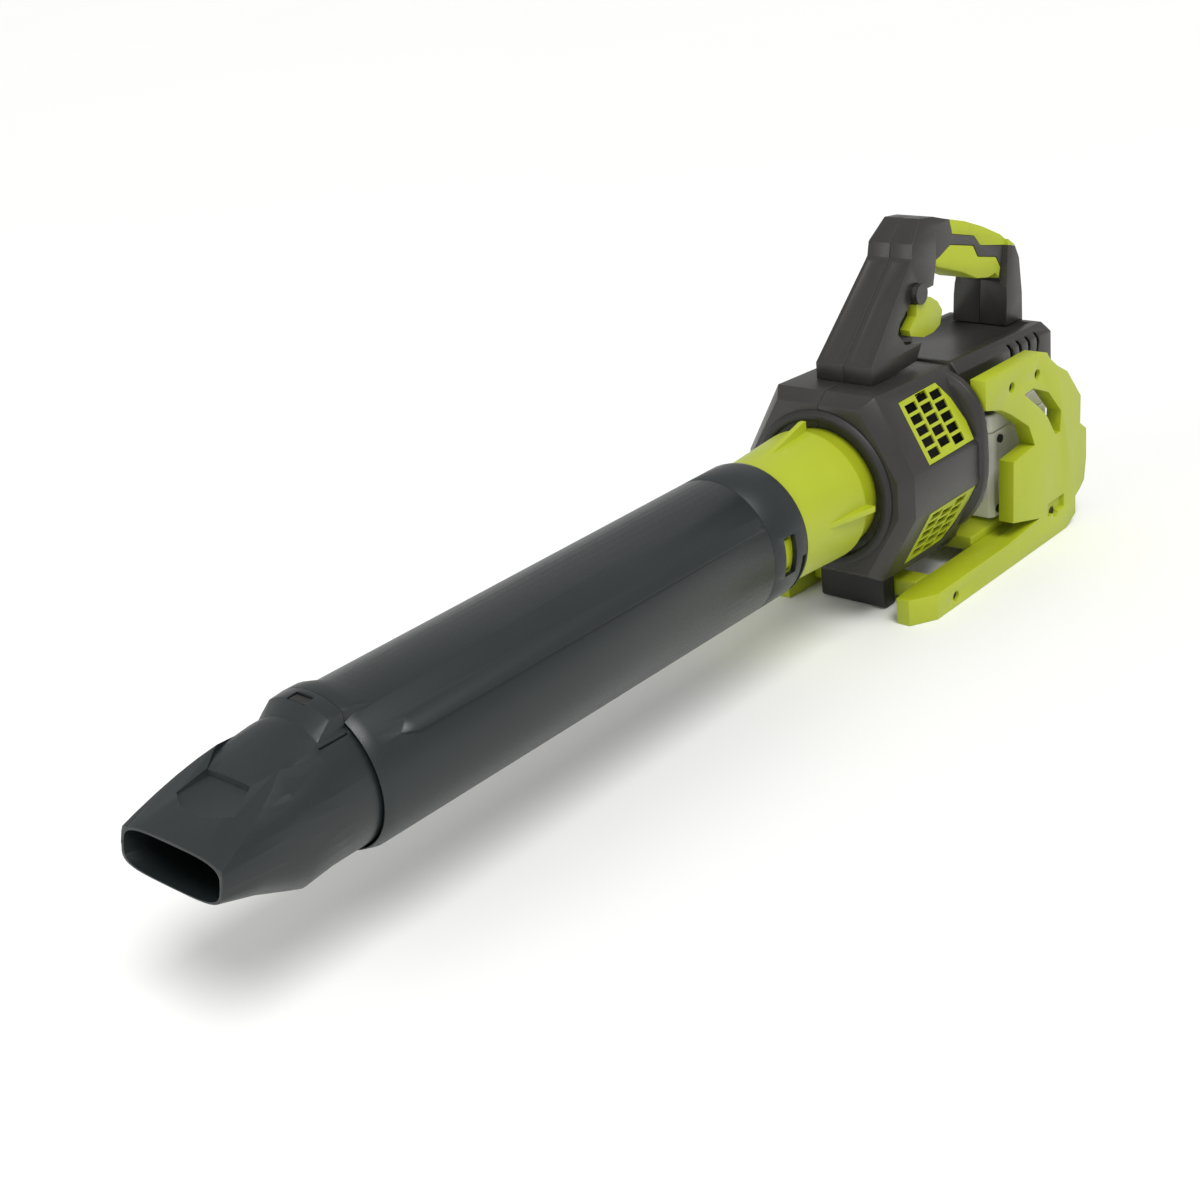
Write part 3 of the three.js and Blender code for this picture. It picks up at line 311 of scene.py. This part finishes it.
def cutGroove(piece, placeMm, widthMm, depthMm):
    makeActive(piece)
    for side in (-1, 0, 1):
        bpy.ops.object.mode_set(mode="EDIT")
        bpy.ops.mesh.select_mode(type="VERT")
        bpy.ops.mesh.select_all(action="SELECT")
        bpy.ops.mesh.bisect(plane_co=at(placeMm + side * widthMm / 2, 0, 0), plane_no=(1, 0, 0))
        bpy.ops.object.mode_set(mode="OBJECT")
    bpy.ops.object.mode_set(mode="EDIT")
    bpy.ops.mesh.select_all(action="DESELECT")
    edit = bmesh.from_edit_mesh(piece.data)
    middle = at(placeMm, 0, 0)
    for vertex in edit.verts:
        outward = Vector((0, vertex.co.y, vertex.co.z - middle.z)).normalized()
        onMiddle = abs(vertex.co.x - middle.x) < grooveSearch["reach"]
        if onMiddle and vertex.normal.dot(outward) > grooveSearch["outward"]:
            vertex.select_set(True)
    bmesh.update_edit_mesh(piece.data)
    bpy.ops.transform.shrink_fatten(value=-depthMm / 1000)
    bpy.ops.object.mode_set(mode="OBJECT")


for nodeName, width in softEdges.items():
    piece = cleanCopy(nodeName)
    bevelEdges(piece, width)
    for place, facing, frameMm, depthMm in sunkPanels.get(nodeName, []):
        sinkPanel(piece, place, facing, frameMm, depthMm)
    for placeMm, widthMm, depthMm in seamGrooves.get(nodeName, []):
        cutGroove(piece, placeMm, widthMm, depthMm)
    finishPiece(piece, [nodeName])
print("mouldings rounded")

# the round edge of the lever's hub is dark, like the cap on it; its flat sides stay lime with the paddle
lever = bpy.data.objects["speedLever"]
lever.data.materials.append(materials["dark_nylon"])
hubLook = {"margin": 0.0004, "flatFacing": 0.7}  # metres past the pin; flat sides face more than this
pinLow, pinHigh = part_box("lever_pivot_pin")
hub = {
    "x": (pinLow.x + pinHigh.x) / 2, "z": (pinLow.z + pinHigh.z) / 2,
    "radius": (pinHigh.x - pinLow.x) / 2 + hubLook["margin"],
}
for face in lever.data.polygons:
    fromPivot = math.hypot(face.center.x - hub["x"], face.center.z - hub["z"])
    if abs(face.normal.y) < hubLook["flatFacing"] and fromPivot < hub["radius"]:
        face.material_index = 1
print("lever hub darkened")

# return springs: the joint that squeezes each, the way it is pressed and the travel in metres; the loop
# below copies each spring as modelled and does not squeeze it
squeezedSprings = {
    "tube_release_spring_left": ("tube_button_left_press", (0, 1, 0), 0.003),
    "tube_release_spring_right": ("tube_button_right_press", (0, -1, 0), 0.003),
    "battery_latch_spring": ("battery_latch_press", (-1, 0, 0), 0.004),
}
springSmoothAngle = 60
for nodeName, (joint, way, travel) in squeezedSprings.items():
    low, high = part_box(nodeName)
    low, high, way = Vector(low), Vector(high), Vector(way)
    spring = cleanCopy(nodeName)
    finishPiece(spring, [nodeName], springSmoothAngle)
    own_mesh(spring)
print("springs set")

stageLook = {
    "floorSize": 60, "floorDrop": 0.0002, "paint": "#f4f4f2", "sunStrength": 2.1, "sunSoftDegrees": 32,
    "sunLine": (0.35, 0.75, -1.5), "fillWatts": 16, "fillSize": 1.6, "fillPlace": (-2.2, 0.6, 1.2),
    "fillAim": (0, 0, 0.1), "skyStrength": 0.55,
}
deselectAll()
bpy.ops.mesh.primitive_plane_add(size=stageLook["floorSize"], location=(0, 0, -stageLook["floorDrop"]))
floor = bpy.context.active_object
floor.name = "studioFloor"
bpy.ops.object.transform_apply(location=True, rotation=True, scale=True)
# emulsion paint, rolled: near white and matt, with a faint roller texture
floor.data.materials.append(mouldedPlastic("mattFloorPaint", {
    "colour": stageLook["paint"], "shade": "#f1f1ef", "rubbed": "#f4f4f2", "cloudMm": 900, "grainMm": 3,
    "rubMm": 400, "rubAmount": 0.1, "grainStrength": 0.05, "grainDepthMm": 0.05, "roughness": (0.8, 0.9),
    "ior": 1.45}))


def addLamp(name, kind, energy, line, settings, place=(0, 0, 0)):
    data = bpy.data.lights.new(name, kind)
    data.energy = energy
    for setting, value in settings.items():
        setattr(data, setting, value)
    lamp = bpy.data.objects.new(name, data)
    lamp.location = place
    lamp.rotation_euler = line.to_track_quat("-Z", "Y").to_euler()
    bpy.context.scene.collection.objects.link(lamp)


addLamp("keyLamp", "SUN", stageLook["sunStrength"], Vector(stageLook["sunLine"]),
        {"angle": math.radians(stageLook["sunSoftDegrees"])})
fillLine = Vector(stageLook["fillAim"]) - Vector(stageLook["fillPlace"])
addLamp("fillLamp", "AREA", stageLook["fillWatts"], fillLine,
        {"shape": "DISK", "size": stageLook["fillSize"]}, stageLook["fillPlace"])
world = bpy.data.worlds.new("studioSky")
bpy.context.scene.world = world
world.use_nodes = True
sky = world.node_tree.nodes["Background"]
sky.inputs["Color"].default_value = (1, 1, 1, 1)
sky.inputs["Strength"].default_value = stageLook["skyStrength"]
bpy.context.scene.view_settings.view_transform = "Standard"

view = {
    "place": (-0.9185, -0.7885, 0.6295), "right": (0.6515, -0.7510, -0.1072), "up": (0.3708, 0.1920, 0.9087),
    "lens": 54.2, "sensorWidth": 36, "clipStart": 0.02,
}
right = Vector(view["right"]).normalized()
back = right.cross(Vector(view["up"])).normalized()
up = back.cross(right)
cameraData = bpy.data.cameras.new("viewCamera")
cameraData.lens = view["lens"]
cameraData.sensor_width = view["sensorWidth"]
cameraData.clip_start = view["clipStart"]
camera = bpy.data.objects.new("viewCamera", cameraData)
bpy.context.scene.collection.objects.link(camera)
turn = Matrix((right, up, back)).transposed().to_4x4()
camera.matrix_world = Matrix.Translation(Vector(view["place"])) @ turn
bpy.context.scene.camera = camera
print("stage set")
